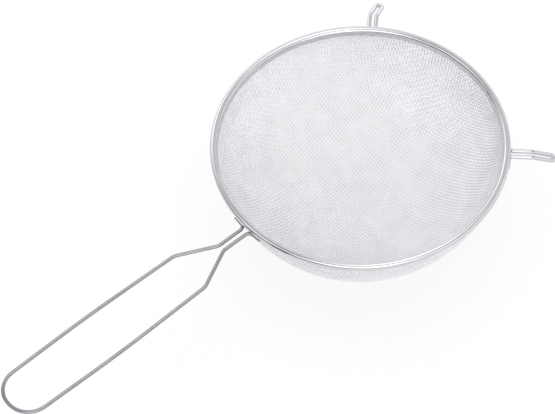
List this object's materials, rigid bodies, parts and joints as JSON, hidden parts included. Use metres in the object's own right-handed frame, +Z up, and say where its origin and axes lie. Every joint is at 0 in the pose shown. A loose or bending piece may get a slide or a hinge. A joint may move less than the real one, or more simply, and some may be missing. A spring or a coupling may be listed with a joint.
{
  "type": "tea strainer",
  "caption": "Round fine-mesh tea strainer with a rolled rim, a long wire loop handle and two wire rest hooks.",
  "frame": {"origin": "centre of the small flat on the underside of the bowl, on which the strainer stands with its rim level", "axes": "+Z up, along the bowl's axis; the handle points along -X; the two rest hooks are 44 degrees either side of +X"},
  "size_m": [0.1588, 0.08, 0.0338],
  "materials": {
    "wire_cloth": "bright drawn stainless steel wire, plain weave",
    "polished_rim": "polished stainless steel strip",
    "bright_wire": "polished stainless steel wire",
    "weld_metal": "resistance weld, cleaned"
  },
  "bodies": {
    "root": {"mesh_bowl": "wire_cloth", "rim_channel": "polished_rim", "rim_hoop_wire": "bright_wire", "handle_loop": "bright_wire", "rest_hook_left": "bright_wire", "rest_hook_right": "bright_wire", "handle_welds": "weld_metal", "hook_welds": "weld_metal"}
  },
  "joints": []
}
